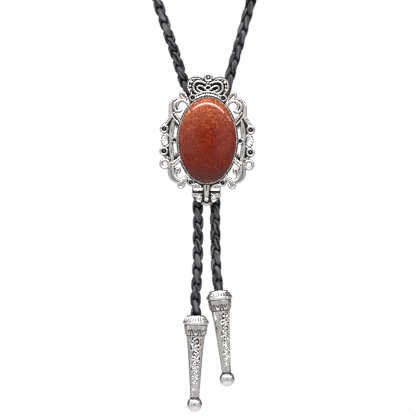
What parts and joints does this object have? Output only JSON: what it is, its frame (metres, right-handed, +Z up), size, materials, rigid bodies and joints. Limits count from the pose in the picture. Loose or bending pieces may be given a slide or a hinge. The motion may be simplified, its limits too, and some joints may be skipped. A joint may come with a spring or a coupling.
{
  "type": "bolo tie",
  "caption": "Bolo tie: a braided cord loop through a pierced cast slide with an oval cabochon, and a fluted metal tip on each hanging end.",
  "frame": {"origin": "centre of the cord at the back of the neck, where the loop rests on the nape", "axes": "+Z up, -Y to the front of the wearer (the stone faces -Y), +X to the right of someone who looks at the stone"},
  "size_m": [0.1276, 0.135, 0.4384],
  "materials": {
    "antique_silver": "polished cast silver-coloured alloy with black oxidised recesses",
    "goldstone": "glossy red-brown goldstone with fine copper sparkle",
    "clip_steel": "plain satin",
    "braided_leather": "black braided leatherette, semi-gloss"
  },
  "bodies": {
    "root": {"slide_plate": "antique_silver", "stone": "goldstone", "back_clip": "clip_steel", "neck_cord": "braided_leather", "tail_left": "braided_leather", "tail_right": "braided_leather", "tip_left": "antique_silver", "tip_right": "antique_silver"}
  },
  "joints": []
}
